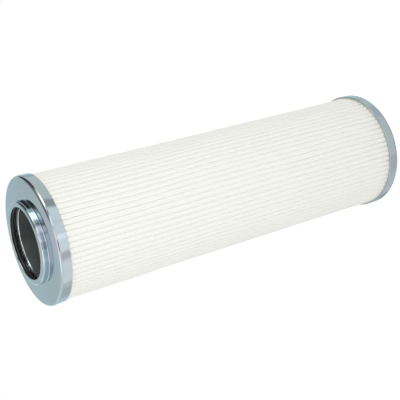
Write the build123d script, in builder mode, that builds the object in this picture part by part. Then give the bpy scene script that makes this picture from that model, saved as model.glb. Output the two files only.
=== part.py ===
"""Pleated hydraulic filter element, a replaceable cartridge for a pressure or return line housing.

It stands on its closed end cap at Z = 0, with its axis on +Z and the open neck at the top.
A perforated steel tube carries a pleated pack: glass-fibre medium, with a support mesh over it.
Each end of the pack is bedded in resin inside a deep-drawn, zinc-plated steel cap.
The open cap has a short neck, drawn up from its face and turned in at the top to make a lip.
The O-ring lies inside the neck, between that lip and a washer that closes the neck from below.
"""
import os
from math import asin, cos, pi, sin

from build123d import *

os.makedirs("parts", exist_ok=True)

# Driving dimensions, in millimetres.
body_length = 254.0  # outer face of the closed cap to outer face of the open cap
cap_diameter = 79.0
cap_sheet = 1.0
cap_corner = 1.8  # outer bend between a cap's face and its skirt
open_skirt = 7.2  # depth of the open cap's skirt, from its outer face
closed_skirt = 7.4
neck_rise = 4.2  # top of the neck above the open cap's face
neck_bend = 0.6  # bend where the neck leaves the face
lip_bend = 1.5  # outer bend where the top of the neck turns in

spigot_bore = 43.6  # slides over the spigot of the filter housing
o_ring_section = 2.65
o_ring_proud = 0.2  # how far the O-ring stands into the bore, all round
washer_sheet = 0.8
washer_grip = 2.2  # how far the washer reaches under the face, past the neck's wall

tube_step = 0.6  # how far the tube's wall stands back from the bore
tube_wall = 1.0
hole_diameter = 8.0
holes_around = 8
hole_rows = 11
hole_margin = 20.0  # plain tube at each end, to the centres of the first row

mesh_thickness = 0.2
medium_thickness = 0.7
valley_gap = 0.28  # least width of a valley at its root, which sets how many pleats go round
crest_gap = 0.6  # between one pleat's crest and the next
resin_depth = 4.5  # resin under each cap's face

# Clearances of the fits.
pack_to_skirt = 0.35
pack_to_tube = 0.1
ply_gap = 0.1  # between the two plies at the foot of one pleat
o_ring_to_neck = 0.05

# Radii and heights that follow from them.
cap_radius = cap_diameter / 2
skirt_bore = cap_radius - cap_sheet
bore_radius = spigot_bore / 2
o_ring_bore = bore_radius - o_ring_proud
neck_bore = o_ring_bore + o_ring_section + o_ring_to_neck
neck_radius = neck_bore + cap_sheet
washer_radius = neck_radius + washer_grip
tube_inner = bore_radius + tube_step
tube_outer = tube_inner + tube_wall
open_face = body_length
neck_top = open_face + neck_rise
groove_top = neck_top - cap_sheet
groove_bottom = open_face - cap_sheet
washer_bottom = groove_bottom - washer_sheet
closed_resin_top = cap_sheet + resin_depth
open_resin_bottom = open_face - cap_sheet - resin_depth

# The pack: as many pleats as leave each valley its width where the sheet turns round the tube.
sheet_thickness = medium_thickness + mesh_thickness
pack_inner = tube_outer + pack_to_tube
pack_outer = skirt_bore - pack_to_skirt
root_share = (ply_gap + valley_gap + 2 * sheet_thickness) / 2
pleats = int(pi / asin(root_share / (pack_inner + sheet_thickness)))
half_pitch = pi / pleats
crest_radius = (pack_outer * sin(half_pitch) - crest_gap / 2) / (1 + sin(half_pitch))


def bent_sheet(points, bends, thickness):
    """Section of sheet bent through the points, thickened to the left of that line."""
    with BuildSketch(Plane.XZ) as section:
        with BuildLine():
            FilletPolyline(*points, radius=bends)
            offset(amount=thickness, side=Side.LEFT)
        make_face()
    return section.sketch


def turn(centre, half_width, flats, swing, towards):
    """Corners of a fold's half turn, made of flats tangent to its half circle.

    The centre lies on the ray at the angle swing, and the turn bulges out or in along that ray.
    """
    spread = half_width / cos(pi / 2 / (flats + 1))
    corners = []
    for corner in range(flats + 1):
        angle = pi * ((corner + 0.5) / (flats + 1) - 0.5)
        along = centre + towards * spread * cos(angle)
        across = spread * sin(angle)
        corners.append(
            (along * cos(swing) - across * sin(swing), along * sin(swing) + across * cos(swing))
        )
    return corners


def fold_line(level, crest_flats, root_flats):
    """Closed zigzag of the pack at a level, measured outwards from the sheet's inner surface."""
    crest_half = crest_radius - sheet_thickness + level
    root_floor = pack_inner + level
    root_half = (root_floor * sin(half_pitch) - ply_gap / 2 - level) / (1 - sin(half_pitch))
    points = []
    for pleat in range(pleats):
        swing = 2 * half_pitch * pleat
        points += turn(pack_outer - crest_radius, crest_half, crest_flats, swing, 1)
        points += turn(root_floor + root_half, root_half, root_flats, swing + half_pitch, -1)
    return points


def pleated_sheet(outer_line, inner_line):
    """Pleated sheet between two zigzags, as long as the space between the two beds of resin."""
    with BuildPart() as sheet:
        with BuildSketch(Plane.XY.offset(closed_resin_top)):
            with BuildLine():
                Polyline(*outer_line, close=True)
            make_face()
            with BuildLine():
                Polyline(*inner_line, close=True)
            make_face(mode=Mode.SUBTRACT)
        extrude(amount=open_resin_bottom - closed_resin_top)
    return sheet.part


# Closed end cap: a plain shallow cup, drawn from zinc-plated steel sheet.
with BuildPart() as closed_end_cap:
    cup = bent_sheet([(0, 0), (cap_radius, 0), (cap_radius, closed_skirt)], cap_corner, cap_sheet)
    revolve(cup, axis=Axis.Z)
closed_end_cap.part.label = "closed_end_cap"

# Closed end resin: poured into the cap, it beds the tube and the ends of the pleats.
with BuildPart() as closed_end_resin:
    with BuildSketch(Plane.XZ) as bed:
        with Locations((tube_outer, cap_sheet)):
            Rectangle(skirt_bore - tube_outer, resin_depth, align=(Align.MIN, Align.MIN))
        fillet(bed.vertices().group_by(Axis.Y)[0].sort_by(Axis.X)[-1], cap_corner - cap_sheet)
    revolve(axis=Axis.Z)
closed_end_resin.part.label = "closed_end_resin"

# Support tube: perforated steel, with its rows of holes staggered by half a pitch.
with BuildPart() as support_tube:
    with BuildSketch(Plane.XY.offset(cap_sheet)):
        Circle(tube_outer)
        Circle(tube_inner, mode=Mode.SUBTRACT)
    extrude(amount=washer_bottom - cap_sheet)
    first_row = cap_sheet + hole_margin
    last_row = washer_bottom - hole_margin
    for row in range(hole_rows):
        height = first_row + (last_row - first_row) * row / (hole_rows - 1)
        stagger = 180 / holes_around * (row % 2)
        with Locations((0, 0, height)):
            with PolarLocations(0, holes_around, start_angle=stagger):
                Cylinder(
                    hole_diameter / 2,
                    2 * tube_outer,
                    rotation=(0, 90, 0),
                    align=(Align.CENTER, Align.CENTER, Align.MIN),
                    mode=Mode.SUBTRACT,
                )
support_tube.part.label = "support_tube"

# Pleated pack: the mesh lies face to face on the medium and is folded with it.
mesh_line = fold_line(sheet_thickness, 3, 1)
medium_line = fold_line(medium_thickness, 3, 1)
inner_line = fold_line(0, 1, 3)
filter_medium = pleated_sheet(medium_line, inner_line)
filter_medium.label = "filter_medium"
support_mesh = pleated_sheet(mesh_line, medium_line)
support_mesh.label = "support_mesh"

# Open end resin: it fills the open cap round the tube and the seal washer.
with BuildPart() as open_end_resin:
    with BuildSketch(Plane.XZ) as bed:
        with BuildLine():
            Polyline(
                (tube_outer, open_resin_bottom),
                (skirt_bore, open_resin_bottom),
                (skirt_bore, groove_bottom),
                (washer_radius, groove_bottom),
                (washer_radius, washer_bottom),
                (tube_outer, washer_bottom),
                close=True,
            )
        make_face()
        fillet(bed.vertices().group_by(Axis.Y)[-1].sort_by(Axis.X)[-1], cap_corner - cap_sheet)
    revolve(axis=Axis.Z)
open_end_resin.part.label = "open_end_resin"

# Open end cap: skirt, face, neck and lip, all drawn from one sheet.
with BuildPart() as open_end_cap:
    cup = bent_sheet(
        [
            (cap_radius, open_face - open_skirt),
            (cap_radius, open_face),
            (neck_radius, open_face),
            (neck_radius, neck_top),
            (bore_radius, neck_top),
        ],
        [cap_corner, neck_bend, lip_bend],
        cap_sheet,
    )
    revolve(cup, axis=Axis.Z)
open_end_cap.part.label = "open_end_cap"

# Seal washer: a flat ring under the face that the tube butts against.
with BuildPart() as seal_washer:
    with BuildSketch(Plane.XY.offset(washer_bottom)):
        Circle(washer_radius)
        Circle(bore_radius, mode=Mode.SUBTRACT)
    extrude(amount=washer_sheet)
seal_washer.part.label = "seal_washer"

# O-ring: pushed up against the lip.
with BuildPart() as o_ring:
    with BuildSketch(Plane.XZ):
        with Locations((o_ring_bore + o_ring_section / 2, groove_top - o_ring_section / 2)):
            Circle(o_ring_section / 2)
    revolve(axis=Axis.Z)
o_ring.part.label = "o_ring"

export_step(closed_end_cap.part, "parts/closed_end_cap.step")
export_step(closed_end_resin.part, "parts/closed_end_resin.step")
export_step(support_tube.part, "parts/support_tube.step")
export_step(filter_medium, "parts/filter_medium.step")
export_step(support_mesh, "parts/support_mesh.step")
export_step(open_end_resin.part, "parts/open_end_resin.step")
export_step(open_end_cap.part, "parts/open_end_cap.step")
export_step(seal_washer.part, "parts/seal_washer.step")
export_step(o_ring.part, "parts/o_ring.step")
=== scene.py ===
"""Looks of a pleated hydraulic filter element that stands on its closed end cap, open neck up."""
import math

import bpy
import numpy as np
from mathutils import Matrix, Vector


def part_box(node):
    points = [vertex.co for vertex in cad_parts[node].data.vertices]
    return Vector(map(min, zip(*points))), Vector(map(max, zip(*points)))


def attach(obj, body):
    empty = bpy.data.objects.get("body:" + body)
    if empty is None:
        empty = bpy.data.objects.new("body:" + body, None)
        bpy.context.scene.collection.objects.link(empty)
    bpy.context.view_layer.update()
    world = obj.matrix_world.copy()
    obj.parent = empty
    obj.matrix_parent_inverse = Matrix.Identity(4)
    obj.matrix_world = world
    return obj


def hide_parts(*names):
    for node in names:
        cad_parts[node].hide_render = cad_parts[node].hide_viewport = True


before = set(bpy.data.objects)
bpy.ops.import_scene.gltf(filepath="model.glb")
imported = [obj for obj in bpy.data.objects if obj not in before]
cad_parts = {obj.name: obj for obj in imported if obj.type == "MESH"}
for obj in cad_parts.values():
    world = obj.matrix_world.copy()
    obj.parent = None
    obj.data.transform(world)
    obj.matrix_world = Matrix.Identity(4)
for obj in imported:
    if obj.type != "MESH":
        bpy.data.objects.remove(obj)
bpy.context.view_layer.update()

# ---------------------------------------------------------------------------------------------
# End caps: shallow cups deep-drawn from one millimetre steel sheet and zinc plated afterwards.
# The closed one is plain. The open one has a low neck drawn up round its opening, and the top of
# the neck is turned in to a flat lip.
# ---------------------------------------------------------------------------------------------
MM = 0.001


class Sock:
    """A shader value. Arithmetic on it adds Math nodes, and node() adds any other node."""

    tree = None

    def __init__(self, link):
        self.link = link

    @classmethod
    def node(cls, kind, settings=(), out=0, **inputs):
        """Adds a node of a kind, sets its properties, then fills or links its sockets.

        An input is named as its socket is, with _ for a space, or i6 for the socket numbered 6.
        """
        made = cls.tree.nodes.new("ShaderNode" + kind)
        for name, value in dict(settings).items():
            if name == "stops":
                ramp = made.color_ramp
                while len(ramp.elements) < len(value):
                    ramp.elements.new(0.5)
                for stop, (position, shade) in zip(ramp.elements, value):
                    stop.position = position
                    stop.color = (*shade, 1)
            else:
                setattr(made, name, value)
        for name, value in inputs.items():
            numbered = name[0] == "i" and name[1:].isdigit()
            socket = made.inputs[int(name[1:]) if numbered else name.replace("_", " ")]
            if isinstance(value, Sock):
                cls.tree.links.new(value.link, socket)
            else:
                socket.default_value = value
        return cls(made.outputs[out]) if made.outputs else None

    def calc(self, operation, *others):
        """Result of a Math node on this value and the others."""
        values = {f"i{n}": value for n, value in enumerate((self, *others))}
        return Sock.node("Math", {"operation": operation}, **values)

    def __add__(self, other):
        return self.calc("ADD", other)

    def __mul__(self, other):
        return self.calc("MULTIPLY", other)

    def __sub__(self, other):
        return self.calc("SUBTRACT", other)

    def __rsub__(self, other):
        return Sock.node("Math", {"operation": "SUBTRACT"}, i0=other, i1=self)

    __radd__ = __add__
    __rmul__ = __mul__


def material(name, build):
    """New material. build() lays its nodes and returns the inputs of its Principled BSDF."""
    made = bpy.data.materials.new(name)
    made.use_nodes = True
    made.node_tree.nodes.clear()
    Sock.tree = made.node_tree
    shader = Sock.node("BsdfPrincipled", **build())
    Sock.node("OutputMaterial", Surface=shader)
    return made


def place():
    """Object coordinates, in metres."""
    return Sock.node("TexCoord", out="Object")


def split(vector):
    """The x, y and z of a vector, each as a value of its own."""
    return [Sock(out) for out in Sock.node("SeparateXYZ", Vector=vector).link.node.outputs]


def blend(share, low, high):
    """Colour between low and high."""
    return Sock.node("Mix", {"data_type": "RGBA"}, out=2, Factor=share, i6=low, i7=high)


def zinc_plate():
    """Bright bluish zinc. The tint drifts slowly from lavender through blue to green-grey, and
    the drawing tool has left faint rings round the axis, which a noise over (radius, height) gives.
    """
    at = place()
    x, y, z = split(at)
    radius = (x * x + y * y).calc("SQRT")
    section = Sock.node("CombineXYZ", X=radius, Y=z)
    rings = Sock.node("TexNoise", Vector=section, Scale=1400.0, Detail=2.0)
    cloud = Sock.node("TexNoise", Vector=at, Scale=45.0, Detail=3.0)
    worn = Sock.node("TexNoise", Vector=at, Scale=420.0, Detail=4.0)
    tints = [
        (0.38, (0.405, 0.425, 0.47)),
        (0.49, (0.345, 0.42, 0.47)),
        (0.60, (0.36, 0.437, 0.435)),
    ]
    tint = Sock.node("ValToRGB", {"stops": tints}, Fac=cloud)
    return {
        "Base_Color": blend(rings * 0.4, tint, (0.48, 0.52, 0.53, 1)),
        "Metallic": 1.0,
        "Roughness": 0.05 + 0.05 * rings + 0.03 * worn,
        "Specular_Tint": (0.78, 0.93, 1.0, 1),
        "Normal": Sock.node("Bump", Height=rings, Strength=0.04, Distance=0.00005),
    }


zinc = material("zinc_plated_steel", zinc_plate)


def rounded(corners, steps=6):
    """Closed outline through (radius, height, bend) corners, in millimetres.

    Each corner with a bend becomes an arc of so many steps, tangent to both sides, with its ends
    on the sides at the bend divided by the tangent of half the corner's angle.
    """
    outline = []
    for k, (*corner, bend) in enumerate(corners):
        here = np.array(corner, float)
        if bend <= 0:
            outline.append(here[None])
            continue
        to_last = np.array(corners[k - 1][:2], float) - here
        to_next = np.array(corners[(k + 1) % len(corners)][:2], float) - here
        to_last /= np.linalg.norm(to_last)
        to_next /= np.linalg.norm(to_next)
        half = math.acos(np.clip(to_last @ to_next, -1, 1)) / 2
        middle = to_last + to_next
        centre = here + middle / np.linalg.norm(middle) * bend / math.sin(half)
        start = here + to_last * bend / math.tan(half) - centre
        end = here + to_next * bend / math.tan(half) - centre
        turn = math.pi - 2 * half
        t = np.linspace(0, 1, steps + 1)[:, None]
        arc = (np.sin((1 - t) * turn) * start + np.sin(t * turn) * end) / math.sin(turn)
        outline.append(centre + arc)
    return np.vstack(outline)


def add_mesh(name, points, faces, look, replaced=()):
    """Adds a piece from points in millimetres, smooth shaded, riding on the one body."""
    mesh = bpy.data.meshes.new(name)
    mesh.from_pydata((points * MM).tolist(), [], faces)
    mesh.polygons.foreach_set("use_smooth", np.ones(len(mesh.polygons), bool))
    mesh.materials.append(look)
    mesh.update()
    piece = bpy.data.objects.new(name, mesh)
    bpy.context.scene.collection.objects.link(piece)
    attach(piece, "root")
    if replaced:
        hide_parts(*replaced)


def grid_faces(rows, columns, wrap_rows=True):
    """Quads of a grid of points numbered row by row, each row closed into a ring.

    When the rows wrap, the last one joins the first.
    """
    row = np.arange(rows if wrap_rows else rows - 1)[:, None]
    column = np.arange(columns)[None, :]
    here, above = row * columns, (row + 1) % rows * columns
    beside = (column + 1) % columns
    quads = [here + column, here + beside, above + beside, above + column]
    return np.stack(quads, -1).reshape(-1, 4)


def turned(name, outline, look, replaced=(), turns=180):
    """Solid turned from an outline: each outline point (r, z) goes round to (r cos a, r sin a, z),
    with the angle a in even turns. The outline runs counterclockwise, so that faces point outwards.

    Where the outline's two end points lie on the axis, each is one pole, closed with a fan.
    """
    angle = np.linspace(0, 2 * math.pi, turns, endpoint=False)
    solid = outline[0, 0] == 0
    ring = outline[1:-1] if solid else outline
    r, z = ring[:, :1], ring[:, 1:]
    points = np.stack(np.broadcast_arrays(r * np.cos(angle), r * np.sin(angle), z), -1)
    points = points.reshape(-1, 3)
    faces = grid_faces(len(ring), turns, wrap_rows=not solid).tolist()
    if solid:
        first_pole = len(points)
        last_pole = first_pole + 1
        points = np.vstack([points, [[0, 0, outline[0, 1]], [0, 0, outline[-1, 1]]]])
        here = np.arange(turns)
        beside = (here + 1) % turns
        last_row = first_pole - turns
        first_fan = np.broadcast_arrays(beside, here, first_pole)
        last_fan = np.broadcast_arrays(last_row + here, last_row + beside, last_pole)
        faces += np.stack(first_fan, -1).tolist() + np.stack(last_fan, -1).tolist()
    add_mesh(name, points, faces, look, replaced)


SHEET = 1.0
CORNER = 1.8
EDGE = 0.2
closed_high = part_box("closed_end_cap")[1] / MM
open_low, open_high = (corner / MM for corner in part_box("open_end_cap"))
cap_radius = closed_high.x
skirt_bore = cap_radius - SHEET
closed_edge = closed_high.z  # heights of the skirts' edges
open_edge, open_top = open_low.z, open_high.z
NECK_RISE = 4.2
NECK_WALL = 25.3
NECK_BEND = 0.6
LIP_BEND = 1.5
BORE = 21.8
LIP_EDGE = 0.45
open_face = open_top - NECK_RISE

turned(
    "closed_cap",
    rounded(
        [
            (0, 0, 0),
            (cap_radius, 0, CORNER),
            (cap_radius, closed_edge, EDGE),
            (skirt_bore, closed_edge, EDGE),
            (skirt_bore, SHEET, CORNER - SHEET),
            (0, SHEET, 0),
        ]
    ),
    zinc,
    ["closed_end_cap"],
)
turned(
    "open_cap",
    rounded(
        [
            (skirt_bore, open_edge, EDGE),
            (cap_radius, open_edge, EDGE),
            (cap_radius, open_face, CORNER),
            (NECK_WALL, open_face, NECK_BEND),
            (NECK_WALL, open_top, LIP_BEND),
            (BORE, open_top, LIP_EDGE),
            (BORE, open_top - SHEET, EDGE),
            (NECK_WALL - SHEET, open_top - SHEET, LIP_BEND - SHEET),
            (NECK_WALL - SHEET, open_face - SHEET, NECK_BEND + SHEET),
            (skirt_bore, open_face - SHEET, CORNER - SHEET),
        ]
    ),
    zinc,
    ["open_end_cap"],
)

# ---------------------------------------------------------------------------------------------
# Seal washer and O-ring: the O-ring lies inside the neck, under the lip. A flat washer of bright
# steel closes the neck from below, and its rolled inner edge shows past the ring.
# ---------------------------------------------------------------------------------------------
ROLLED_EDGE = 0.5
SECTION_POINTS = 24
washer_low, washer_high = (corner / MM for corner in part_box("seal_washer"))


def bright_steel():
    """Tumbled steel, smooth and nearly white, with faint scuffs in its gloss."""
    scuffs = Sock.node("TexNoise", Vector=place(), Scale=700.0, Detail=4.0)
    return {
        "Base_Color": blend(scuffs, (0.74, 0.76, 0.77, 1), (0.82, 0.84, 0.85, 1)),
        "Metallic": 1.0,
        "Roughness": 0.12 + 0.12 * scuffs,
    }


turned(
    "washer",
    rounded(
        [
            (BORE, washer_low.z, EDGE),
            (washer_high.x, washer_low.z, EDGE),
            (washer_high.x, washer_high.z, EDGE),
            (BORE, washer_high.z, ROLLED_EDGE),
        ]
    ),
    material("bright_steel", bright_steel),
    ["seal_washer"],
)


def fluoro_rubber():
    """Brown-black rubber with a faint moulded sheen."""
    cloud = Sock.node("TexNoise", Vector=place(), Scale=300.0, Detail=2.0)
    return {
        "Base_Color": blend(cloud, (0.011, 0.009, 0.008, 1), (0.020, 0.016, 0.014, 1)),
        "Roughness": 0.35 + 0.15 * cloud,
    }


ring_low, ring_high = (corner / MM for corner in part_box("o_ring"))
half_thick = (ring_high.z - ring_low.z) / 2
around = np.linspace(0, 2 * math.pi, SECTION_POINTS, endpoint=False)
ring_section = np.stack(
    [
        ring_high.x - half_thick + half_thick * np.cos(around),
        (ring_high.z + ring_low.z) / 2 + half_thick * np.sin(around),
    ],
    -1,
)
turned(
    "sealing_ring",
    ring_section,
    material("seal_rubber", fluoro_rubber),
    ["o_ring"],
)

# ---------------------------------------------------------------------------------------------
# Pleated pack: white glass-fibre medium with a fine white net over it, pleated together, so
# that the crests nearly touch and the folds wander a little along their length.
# ---------------------------------------------------------------------------------------------
PLEATS = 70
NET = 0.2
MEDIUM = 0.7
PLY_GAP = 0.1
TUBE_GAP = 0.1  # clearance on the support tube
# Gap between crests, how far a crest's rounded sides reach down from its top, and the power of
# the cosine in its outline, where 1 gives an ellipse and less a flatter top
FREE_CREST = (0.06, 1.25, 1.0)
PINCHED_CREST = (0.16, 1.6, 1.05)
PINCH_FADE = 4.0  # how far from a cap the pinch falls to a third
NEAR_CAP = np.array([0, 1, 2, 3.5, 5.5, 8, 11, 15])  # rows of points by their distance from a cap
EVEN_ROWS = 29  # rows from one cap to the other
GIVEN_UP = 3  # even rows at each cap that the near ones stand in for
DRIFTS = ((1.0, 0.006), (2.3, 0.005), (4.1, 0.003))  # waves along a valley, and radians of drift
NEIGHBOURS = (-2, -1, 0, 1, 2)  # valleys that drift much alike
HELD_ENDS = 0.4  # power of the sine that holds the ends, where less lets go sooner
NET_STEPS = (10, 4)  # steps over a crest and round a root
MEDIUM_STEPS = (8, 6)

net_low, net_high = (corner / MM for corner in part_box("support_mesh"))
pack_outer = net_high.x
pack_inner = (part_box("support_tube")[1] / MM).x + TUBE_GAP
rng = np.random.default_rng(7)


def wander(height):
    """Sideways drift of each valley at each height, in radians, from a few long waves per valley.

    Neighbours share most of it, because each set of random numbers is averaged round the pack,
    and it fades to nothing at the two ends, which the resin holds.
    """
    drift = np.zeros((PLEATS, len(height)))
    share = (height - height[0]) / (height[-1] - height[0])
    for waves, size in DRIFTS:
        raw = rng.normal(size=(2, PLEATS))
        smooth = sum(np.roll(raw, k, 1) for k in NEIGHBOURS) / math.sqrt(len(NEIGHBOURS))
        phase = 2 * math.pi * waves * share
        drift += size * (smooth[0][:, None] * np.sin(phase) + smooth[1][:, None] * np.cos(phase))
    return drift * np.sin(math.pi * share) ** HELD_ENDS


heights = np.concatenate(
    [
        [net_low.z],
        closed_edge + NEAR_CAP,
        np.linspace(closed_edge, open_edge, EVEN_ROWS)[GIVEN_UP:-GIVEN_UP],
        open_edge - NEAR_CAP[::-1],
        [net_high.z],
    ]
)
drift = wander(heights)


def fold_line(level, crest, crest_steps, root_steps):
    """Points round the pack as complex numbers, at a level above the sheet's inside.

    A crest goes sideways as a sine, and down from its top as one less a power of the cosine. A
    root is a half circle between two pleats. Each point comes with its pleat's number and with
    its share of the way from one valley to the next.
    """
    gap, shoulder, power = crest
    half_pitch = math.pi / PLEATS
    s = math.sin(half_pitch)
    inset = NET + MEDIUM - level
    half_width = pack_outer * s - gap / 2 - inset
    foot = pack_inner + level
    root = (foot * s - PLY_GAP / 2 - level) / (1 - s)
    a = np.linspace(-math.pi / 2, math.pi / 2, crest_steps + 1)
    b = np.linspace(-math.pi / 2, math.pi / 2, root_steps + 1)
    crest_r = pack_outer - inset - shoulder * (1 - np.abs(np.cos(a)) ** power)
    crest_xy = crest_r + 1j * half_width * np.sin(a)
    root_xy = foot + root - root * np.cos(b) + 1j * root * np.sin(b)
    one = np.concatenate([crest_xy, root_xy * np.exp(1j * half_pitch)])
    pleat = np.repeat(np.arange(PLEATS), len(one))
    where = np.tile(one, PLEATS) * np.exp(2j * half_pitch * pleat)
    share = np.tile(np.concatenate([(1 + np.sin(a)) / 2, np.ones(len(b))]), PLEATS)
    return where, pleat, share


def pleat_wall(level, crest_steps, root_steps):
    """Grid of points, one row a height: the fold line turned by the drift of its valleys.

    A valley keeps its width as it drifts, and the crest beside it grows or shrinks a little. The
    drift grows from nothing at the tube to its whole at the crests. Close to a cap the crests are
    pinched, which fades with distance from the skirt's edge as an exponential.
    """
    free, pleat, share = fold_line(level, FREE_CREST, crest_steps, root_steps)
    pinched = fold_line(level, PINCHED_CREST, crest_steps, root_steps)[0]
    from_cap = np.minimum(heights - closed_edge, open_edge - heights)
    pinch = np.exp(-np.clip(from_cap, 0, None) / PINCH_FADE)
    where = free[:, None] + (pinched - free)[:, None] * pinch
    before, after = drift[pleat - 1], drift[pleat]
    turn = before + (after - before) * share[:, None]
    reach = np.clip((np.abs(where) - pack_inner) / (pack_outer - pack_inner), 0, 1)
    moved = where * np.exp(1j * turn * reach)
    columns = np.stack(np.broadcast_arrays(moved.real, moved.imag, heights), -1)
    return columns.transpose(1, 0, 2)


def pleated(name, outer_level, inner_level, steps, look, replaced):
    """Closed sheet between two fold lines, with its two cut edges."""
    outer, inner = pleat_wall(outer_level, *steps), pleat_wall(inner_level, *steps)
    rows, columns = outer.shape[:2]
    points = np.vstack([outer.reshape(-1, 3), inner.reshape(-1, 3)])
    wall = grid_faces(rows, columns, wrap_rows=False)
    here = np.arange(columns)
    beside = (here + 1) % columns
    inside = rows * columns
    top = inside - columns
    low_edge = np.stack([beside, here, here + inside, beside + inside], -1)
    high_edge = np.stack([here, beside, beside + inside, here + inside], -1) + top
    faces = np.vstack([wall, wall[:, ::-1] + inside, low_edge, high_edge])
    add_mesh(name, points, faces.tolist(), look, replaced)


THREAD_PITCH = 1.75


def net_weave():
    """White net: a thread every THREAD_PITCH both up the pack and round it, each a rounded ridge,
    and painted shade in the holes between them, where the medium lies in the net's shade.
    """
    at = place()
    x, y, z = split(at)
    round_pack = y.calc("ARCTAN2", x) * (pack_outer * MM)
    half_turns = math.pi / (THREAD_PITCH * MM)
    across = (z * half_turns).calc("COSINE")
    along = (round_pack * half_turns).calc("COSINE")
    threads = (across * across).calc("MAXIMUM", along * along)
    fluff = Sock.node("TexNoise", Vector=at, Scale=900.0, Detail=3.0)
    ridges = threads * 0.7 + fluff * 0.3
    # painted shade: less white in the holes between the threads, so the colour there is darker; the
    # fluff adds random tone
    white = threads * 0.75 + fluff * 0.25
    return {
        "Base_Color": blend(white, (0.875, 0.88, 0.825, 1), (0.95, 0.955, 0.905, 1)),
        "Roughness": 0.75,
        "Normal": Sock.node("Bump", Height=ridges, Strength=0.25, Distance=0.0002),
    }


def medium_felt():
    """Soft white fibre mat."""
    grain = Sock.node("TexNoise", Vector=place(), Scale=1500.0, Detail=3.0)
    return {
        "Base_Color": blend(grain, (0.88, 0.88, 0.84, 1), (0.93, 0.93, 0.90, 1)),
        "Roughness": 0.9,
        "Normal": Sock.node("Bump", Height=grain, Strength=0.3, Distance=0.0002),
    }


pleated(
    "pleated_net",
    MEDIUM + NET,
    MEDIUM,
    NET_STEPS,
    material("white_net", net_weave),
    ["support_mesh"],
)
pleated(
    "pleated_medium",
    MEDIUM,
    0,
    MEDIUM_STEPS,
    material("glass_fibre_mat", medium_felt),
    ["filter_medium"],
)


# ---------------------------------------------------------------------------------------------
# Support tube and resin: a perforated steel tube up the middle, and a bed of cast resin in each
# cap. They keep their modelled shape and take a finish of their own.
# ---------------------------------------------------------------------------------------------
def dull_steel():
    """Dark, dull steel that has only been oiled."""
    cloud = Sock.node("TexNoise", Vector=place(), Scale=120.0, Detail=3.0)
    return {
        "Base_Color": blend(cloud, (0.27, 0.31, 0.30, 1), (0.36, 0.40, 0.39, 1)),
        "Metallic": 1.0,
        "Roughness": 0.4 + 0.15 * cloud,
    }


def cast_resin():
    """Cream resin with a slightly cloudy surface."""
    cloud = Sock.node("TexNoise", Vector=place(), Scale=150.0, Detail=3.0)
    return {
        "Base_Color": blend(cloud, (0.72, 0.70, 0.62, 1), (0.80, 0.78, 0.71, 1)),
        "Roughness": 0.45,
    }


resin = material("cast_resin", cast_resin)
for node, look in (
    ("support_tube", material("dull_tube_steel", dull_steel)),
    ("closed_end_resin", resin),
    ("open_end_resin", resin),
):
    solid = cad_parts[node]
    solid.data.materials.clear()
    solid.data.materials.append(look)

# While it was liquid, the resin crept up the narrow gap between the folds and each skirt, and
# set there as a thin collar that stops just short of the skirt's edge.
SHORT_OF_EDGE = 0.1
WETTED = 1.2  # how far in the resin has run between the folds
collar_bore = pack_outer - WETTED
closed_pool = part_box("closed_end_resin")[1].z / MM
open_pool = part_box("open_end_resin")[0].z / MM
for name, low, high in (
    ("closed_resin_collar", closed_pool, closed_edge - SHORT_OF_EDGE),
    ("open_resin_collar", open_edge + SHORT_OF_EDGE, open_pool),
):
    collar = [(collar_bore, low), (skirt_bore, low), (skirt_bore, high), (collar_bore, high)]
    turned(name, np.array(collar), resin)

# ---------------------------------------------------------------------------------------------
# Stage: a plain white floor, soft even light, and a long lens that looks down on the neck with
# the camera rolled over, so that the element lies almost level across the picture.
# ---------------------------------------------------------------------------------------------
LENS = 81.0
LOOK_DOWN = math.radians(29.4)
ROLL = math.radians(106.0)
NECK_IN_VIEW = (-2.4865, 0.6166, 13.263)  # right, down and ahead of the lens, in cap radii

forward = Vector((0, math.cos(LOOK_DOWN), -math.sin(LOOK_DOWN)))
sideways = Vector((1, 0, 0))
right = sideways * math.cos(ROLL) + forward.cross(sideways) * math.sin(ROLL)
down = forward.cross(right)
eye = Vector((0, 0, open_face)) * MM
for way, share in zip((right, down, forward), NECK_IN_VIEW):
    eye -= way * share * cap_radius * MM
camera = bpy.data.objects.new("camera", bpy.data.cameras.new("camera"))
camera.data.lens = LENS
camera.data.sensor_width = 36.0
camera.data.clip_end = 50
turn = Matrix((right, -down, -forward)).transposed()
camera.matrix_world = Matrix.Translation(eye) @ turn.to_4x4()
bpy.context.scene.collection.objects.link(camera)
bpy.context.scene.camera = camera


def ray(*kinds):
    """One for rays of any of these kinds, such as Camera or Glossy."""
    first, *others = (Sock.node("LightPath", out=f"Is {kind} Ray") for kind in kinds)
    for other in others:
        first = first.calc("MAXIMUM", other)
    return first


FLOOR_RADIUS = 0.4  # metres
RIM_POINTS = 96
FLOOR_WHITE = (0.9, 0.9, 0.9, 1)
FLOOR_LIFT = (0.52, 0.52, 0.52, 1)  # brings the lit floor up to the white of the tent


def white_floor():
    """White for the eye and in metal or glass, with the element's soft shadow left in it."""
    seen = ray("Camera", "Glossy", "Transmission")
    return {
        "Base_Color": FLOOR_WHITE,
        "Roughness": 1.0,
        "Emission_Color": blend(seen, (0, 0, 0, 1), FLOOR_LIFT),
        "Emission_Strength": 1.0,
    }


rim = np.linspace(0, 2 * math.pi, RIM_POINTS, endpoint=False)
disc = np.stack([np.cos(rim), np.sin(rim), np.zeros(RIM_POINTS)], -1) * FLOOR_RADIUS
floor_mesh = bpy.data.meshes.new("floor")
floor_mesh.from_pydata(disc.tolist(), [], [list(range(RIM_POINTS))])
floor_mesh.materials.append(material("floor_white", white_floor))
floor = bpy.data.objects.new("floor", floor_mesh)
bpy.context.scene.collection.objects.link(floor)
floor.visible_glossy = False  # the metal mirrors the tent all the way down

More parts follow.
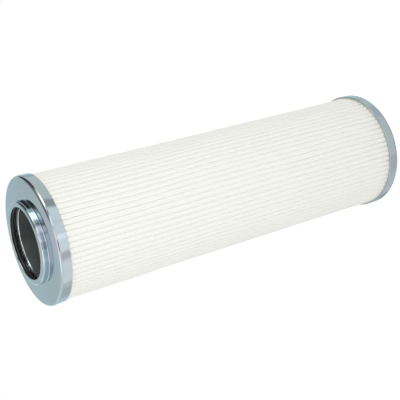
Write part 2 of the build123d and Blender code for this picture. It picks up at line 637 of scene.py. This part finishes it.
# White tent round the stage. Its walls light the element softly, a little more from the front and
# back than from the sides. Cards on the walls show in the metal: azimuth and half width, lowest and
# highest elevation and soft edge, all in degrees, then the card's level of light. A card covers
# those before it.
SIDE_LIGHT = 0.66
FRONT_LIGHT = 0.78
CARDS = (
    # above, for the open cap's face, neck and lip
    (-90, 148, 4, 30, 6, 1.25),
    (-128, 48, 28, 60, 6, 1.8),
    (90, 34, 6, 28, 5, 0.86),
    (66, 14, 26, 60, 5, 0.5),
    (5, 58, 50, 74, 6, 0.22),
    (37, 22, 14, 68, 6, 0.2),
    (30, 29, 2, 31, 4, 0.08),
    (-25, 11, 2, 31, 5, 5.0),
    (-50, 4, 0, 45, 3, 0.45),
    (-65, 8, 2, 45, 3, 1.9),
    (-109, 10, 5, 30, 3, 0.12),
    (-147, 8, 5, 30, 4, 1.5),
    # below, for the open cap's skirt
    (-34, 8, -31, -4, 3, 0.6),
    (-56, 13, -31, -2, 4, 1.35),
    (-80, 10, -31, -2, 4, 1.35),
    (-106, 15, -31, -2, 4, 1.45),
    (-95, 4, -31, -2, 4, 1.75),
    (-127, 5, -31, -2, 2, 0.9),
    (-158, 22, -31, -2, 4, 1.35),
    (154, 14, -31, -2, 4, 0.85),
    (52, 8, -31, -2, 4, 0.7),
    (106, 9, -31, -2, 3, 1.4),
    # further below, for the closed cap's skirt
    (128, 18, -60, -34, 6, 0.62),
    (45, 25, -60, -34, 6, 0.9),
    (-18, 15, -60, -34, 6, 0.85),
    (-138, 18, -60, -34, 6, 0.85),
    # straight below, for the closed cap's flat end
    (0, 180, -95, -64, 6, 0.4),
)


def ramp(value, start, end):
    """Smooth rise from nought at start to one at end."""
    smooth = {"interpolation_type": "SMOOTHSTEP"}
    return Sock.node("MapRange", smooth, Value=value, From_Min=start, From_Max=end)


def light_tent():
    """Level of light by direction and kind of ray.

    It is one, white, for the eye, metal and glass, and for the rest the side light plus the front
    light times the square of y. A card's share is one within its edges, and metal sees the cards.
    """
    x, y, z = split(Sock.node("TexCoord", out="Generated"))
    elevation = z.calc("ARCSINE")
    soft_light = SIDE_LIGHT + FRONT_LIGHT * (y * y)
    light = soft_light + (1 - soft_light) * ray("Camera", "Glossy", "Transmission")
    in_metal = ray("Glossy")
    for *angles, card in CARDS:
        azimuth, half, low, high, soft = (math.radians(angle) for angle in angles)
        ahead = x * math.cos(azimuth) + y * math.sin(azimuth)
        aside = y * math.cos(azimuth) - x * math.sin(azimuth)
        off = aside.calc("ARCTAN2", ahead).calc("ABSOLUTE")
        share = ramp(off, half + soft, half - soft)
        share = share * ramp(elevation, low - soft, low + soft)
        share = share * ramp(elevation, high + soft, high - soft) * in_metal
        light = light + (card - light) * share
    return light


world = bpy.data.worlds.new("studio")
bpy.context.scene.world = world
world.use_nodes = True
world.cycles.sampling_method = "NONE"  # the tent is smooth, and the kind of ray stays true
world.node_tree.nodes.clear()
Sock.tree = world.node_tree
tent = Sock.node("Background", Color=(1, 1, 1, 1), Strength=light_tent())
Sock.node("OutputWorld", Surface=tent)
bpy.context.scene.view_settings.view_transform = "Standard"
